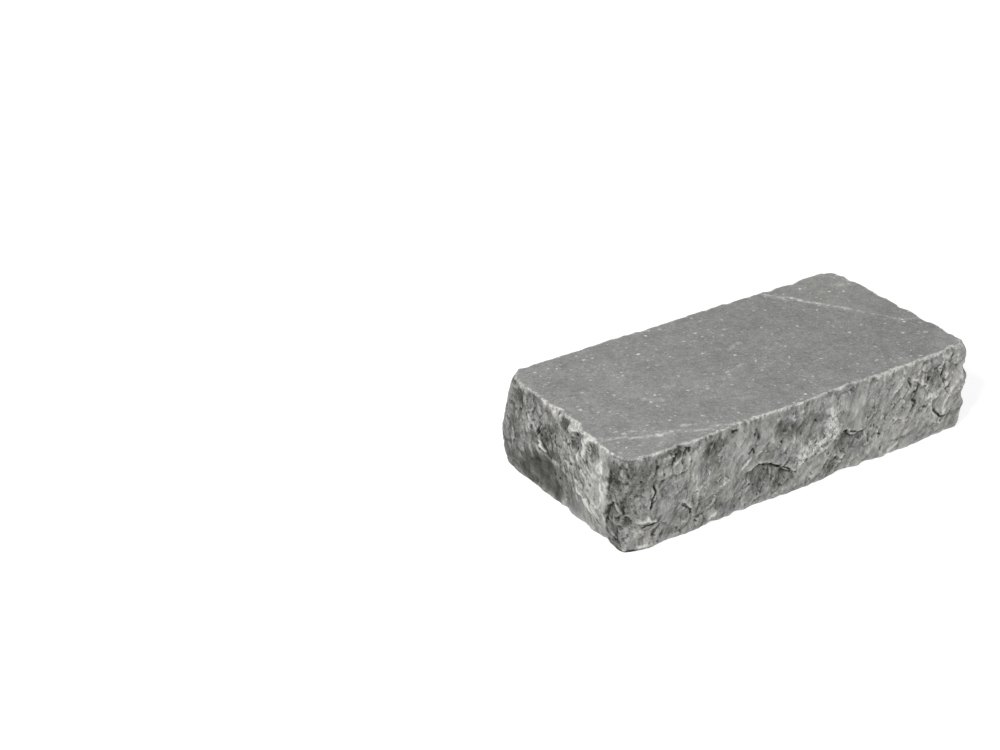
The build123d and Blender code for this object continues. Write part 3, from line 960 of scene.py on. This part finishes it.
# a thin broken line from one place to another
def veinGroup():
    inputs = (("Place", "Vector", None), ("From", "Vector", None),
              ("To", "Vector", None), ("Width", "Float", 0.6))
    tree, sheet, given, out = newGroup("vein", inputs, "Mask")
    place = sheet.bent(sheet.bent(given["Place"], 3.0, 6.0), 1.2, 1.6)
    line = sheet.vector("SUBTRACT", given["To"], given["From"])
    step = sheet.vector("SUBTRACT", place, given["From"])
    along, whole = sheet.vector("DOT_PRODUCT", step, line), sheet.vector("DOT_PRODUCT", line, line)
    share = sheet.math("DIVIDE", along, whole, clamp=True)
    nearest = sheet.vector("SCALE", line, scale=share)
    far = sheet.vector("LENGTH", sheet.vector("SUBTRACT", step, nearest))
    body = sheet.ramp(far, 0.0, given["Width"], 1.0, 0.0)
    ends = sheet.math("MULTIPLY", sheet.times(share, sheet.math("SUBTRACT", 1.0, share)), 9.0, clamp=True)
    gaps = sheet.ramp(sheet.noise(given["Place"], 2.4, 3.0, 0.75), -0.7, 0.5)
    sheet.put(sheet.times(body, ends, gaps), out)
    return tree


def stoneMaterial():
    material = bpy.data.materials.new("greyStone")
    material.use_nodes = True
    tree = material.node_tree
    tree.nodes.clear()
    sheet = NodeSheet(tree)
    out = sheet.add("ShaderNodeOutputMaterial")
    skin = sheet.add("ShaderNodeBsdfPrincipled")
    sheet.put(skin.outputs[0], out.inputs["Surface"])
    place = sheet.vector("SCALE", sheet.add("ShaderNodeTexCoord").outputs["Object"], scale=1 / mm)
    drawn = sheet.drawnOut(place, grainWay, finish["drawnShare"])
    streaky = sheet.drawnOut(place, grainWay, finish["streakyShare"])

    def attribute(name):
        return sheet.add("ShaderNodeAttribute", attribute_name=name).outputs["Fac"]

    def group(source, **given):
        node = sheet.add("ShaderNodeGroup", node_tree=source)
        for name, value in given.items():
            sheet.put(value, node.inputs[name])
        return node.outputs[0]

    split, calm = attribute("split"), attribute("calm")
    rough = sheet.math("MULTIPLY_ADD", calm, -0.5, 1.0)

    # sawn top: fine grain, faint clouds, pale and dark specks, veins
    ways = {"plain": place, "bedded": sheet.drawnOut(place, bedWay, finish["beddedShare"])}
    across = sheet.vector("DOT_PRODUCT", place, (1.0, 0.0, 0.0))
    # painted light: the sawn top starts lighter at the left end, towards the key lamp
    sawn = sheet.ramp(across, *finish["paintedTopLight"], "LINEAR")
    for way, size, coarse, tone in finish["topNoise"]:
        sawn = sheet.total(sawn, sheet.times(sheet.noise(ways[way], size, 2.0, coarse), tone))
    for x, y, reach, tone in finish["paleTop"]:
        away = sheet.vector("LENGTH", sheet.vector("SUBTRACT", place, (x, y, stone["height"])))
        sawn = sheet.total(sawn, sheet.ramp(away, 0.3 * reach, reach, tone, 0.0))
    flecks, specks = fleckGroup("topFlecks", True), fleckGroup("sideSpecks", False)
    vein = veinGroup()
    clumps = sheet.ramp(sheet.noise(place, 16.0, 2.0), -0.5, 0.7, 0.3, 1.0)
    fine = group(flecks, Place=place, Spacing=2.4, Share=0.34, Size=0.27)
    aside = sheet.vector("ADD", place, (31.0, 7.0, 0.0))
    dashes = sheet.drawnOut(aside, bedWay, finish["dashShare"])
    large = group(flecks, Place=sheet.bent(dashes, 2.2, 2.0), Spacing=4.4, Share=0.3, Size=0.16)
    aside = sheet.vector("ADD", place, (50.0, 20.0, 0.0))
    dark = group(flecks, Place=aside, Spacing=3.4, Share=0.2, Size=0.15)
    smears = sheet.ramp(sheet.noise(place, 1.5, 3.0, 0.6), 0.55, 1.0)
    sawn = sheet.total(
        sawn,
        sheet.times(fine, clumps, finish["fineFlecks"]),
        sheet.times(large, finish["largeFlecks"]),
        sheet.times(smears, clumps, finish["smears"]),
        sheet.times(dark, finish["darkFlecks"]),
    )
    high = stone["height"]
    for start, end, wide, tone in topVeins:
        mask = group(vein, Place=place, From=(*start, high), To=(*end, high), Width=wide)
        sawn = sheet.total(sawn, sheet.times(mask, tone))

    # split sides: streaky, with pale strands and dark grains, pale where they stand proud as wear, with
    # painted shade where they lie deep
    rim, pits = attribute("rim"), attribute("pits")
    bold = sheet.ramp(rim, 0.3, 2.5, 0.25, 1.0)
    broad = sheet.times(bold, sheet.math("MULTIPLY_ADD", attribute("corner"), -0.9, 1.0))
    drawnShare = sheet.times(rough, attribute("strand"))
    strands = sheet.noise(streaky, 1.5, 3.0, 0.6)
    shades = sheet.noise(sheet.vector("ADD", streaky, (17.0, 5.0, 9.0)), 1.7, 3.0, 0.6)
    tufts = sheet.ramp(sheet.noise(drawn, 5.0, 2.0), -0.2, 0.5)
    patches = sheet.total(sheet.ramp(sheet.noise(drawn, 9.0, 3.0, 0.6), 0.1, 0.7), pits)
    grains = group(specks, Place=place, Spacing=1.7, Share=0.4, Size=0.34)
    glint = sheet.noise(drawn, 1.4, 3.0, 0.75)

    def standTone(name):
        reach, deep, high = finish[name]
        return sheet.ramp(attribute(name), -reach, reach, deep, high, "LINEAR")

    torn = sheet.total(
        finish["sideTone"],
        sheet.times(sheet.noise(place, 0.8, 2.0, 0.7), rough, finish["sideGrain"]),
        sheet.times(sheet.noise(drawn, 2.6, 3.0, 0.65), rough, finish["sideRough"]),
        sheet.times(sheet.noise(drawn, 6.0, 2.0, 0.5), finish["sidePatch"]),
        sheet.times(sheet.noise(place, 16.0, 2.0), finish["sideCloud"]),
        sheet.times(strands, drawnShare, finish["strands"]),
        sheet.times(sheet.ramp(strands, 0.25, 0.9), tufts, drawnShare, finish["tufts"]),
        sheet.times(sheet.ramp(shades, 0.25, 0.9), drawnShare, finish["shades"]),
        sheet.times(grains, patches, finish["grains"]),
        sheet.times(attribute("spar"), sheet.ramp(glint, -0.4, 0.4, *finish["spar"], "LINEAR")),
        attribute("tone"),
        # pale wear on proud ground, painted shade in the hollows, close by and further round
        sheet.times(standTone("proud"), bold),
        sheet.times(standTone("proudWide"), broad),
    )

    # worn arris: a pale crumbled line of changing width
    wide = sheet.ramp(sheet.noise(place, 4.5, 3.0, 0.65), -0.2, 1.1, *finish["wornWidth"], "LINEAR")
    worn = sheet.ramp(rim, sheet.math("MULTIPLY", wide, 0.7), wide, 1.0, 0.0)
    worn = sheet.times(worn, sheet.ramp(sheet.noise(place, 1.9, 3.0, 0.7), -0.45, 0.1, 0.0, 1.0))

    flat = sheet.math("SUBTRACT", 1.0, split)
    tone = sheet.total(sheet.times(sawn, flat), sheet.times(torn, split))
    tone = sheet.total(tone, sheet.times(worn, finish["wornTone"]))
    greys = sheet.add("ShaderNodeValToRGB")
    stops = greys.color_ramp.elements
    while len(stops) < len(finish["greys"]):
        stops.new(0.5)
    for stop, (where, color) in zip(stops, finish["greys"]):
        stop.position, stop.color = where, color
    sheet.put(tone, greys.inputs["Fac"])
    warm = sheet.add("ShaderNodeMix", data_type="RGBA", blend_type="MULTIPLY")
    middle = (*finish["warmTop"], stone["height"])
    away = sheet.vector("LENGTH", sheet.vector("SUBTRACT", place, middle))
    cloud = sheet.ramp(sheet.noise(place, 9.0, 2.0), -0.6, 0.6, 0.2, 1.0)
    onTop = sheet.ramp(away, *finish["warmReach"], finish["warmShare"], 0.0)
    sheet.put(sheet.times(cloud, sheet.math("MAXIMUM", split, onTop)), warm.inputs["Factor"])
    sheet.put(greys.outputs["Color"], warm.inputs[6])
    warm.inputs[7].default_value = finish["sideTint"]
    sheet.put(warm.outputs[2], skin.inputs["Base Color"])
    skin.inputs["Roughness"].default_value = finish["roughness"]
    skin.inputs["Specular IOR Level"].default_value = finish["specular"]

    bump = sheet.add("ShaderNodeBump")
    bump.inputs["Strength"].default_value = 1.0
    bump.inputs["Distance"].default_value = finish["bumpHeight"]
    least, more = finish["sandShare"]
    sand = sheet.noise(place, finish["sandSize"], 3.0, 0.7)
    sandy = sheet.times(sand, sheet.math("MULTIPLY_ADD", split, more, least))
    sheet.put(sandy, bump.inputs["Height"])
    sheet.put(bump.outputs[0], skin.inputs["Normal"])
    return material


material = stoneMaterial()
print("stone finish ready")

tree = reliefTree(material)
modifier = piece.modifiers.new("splitRelief", "NODES")
modifier.node_group = tree
for item in tree.interface.items_tree:
    if item.in_out == "INPUT" and item.name in relief:
        modifier[item.identifier] = relief[item.name]
graph = bpy.context.evaluated_depsgraph_get()
shaped = piece.evaluated_get(graph)
made = bpy.data.meshes.new_from_object(shaped, preserve_all_data_layers=True, depsgraph=graph)
piece.modifiers.remove(modifier)
plain = piece.data
piece.data = made
bpy.data.meshes.remove(plain)
made.name = "pavingStone"
print("split relief done:", sum(len(p.vertices) - 2 for p in made.polygons), "triangles")

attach(piece, "root")
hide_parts(stone["node"])
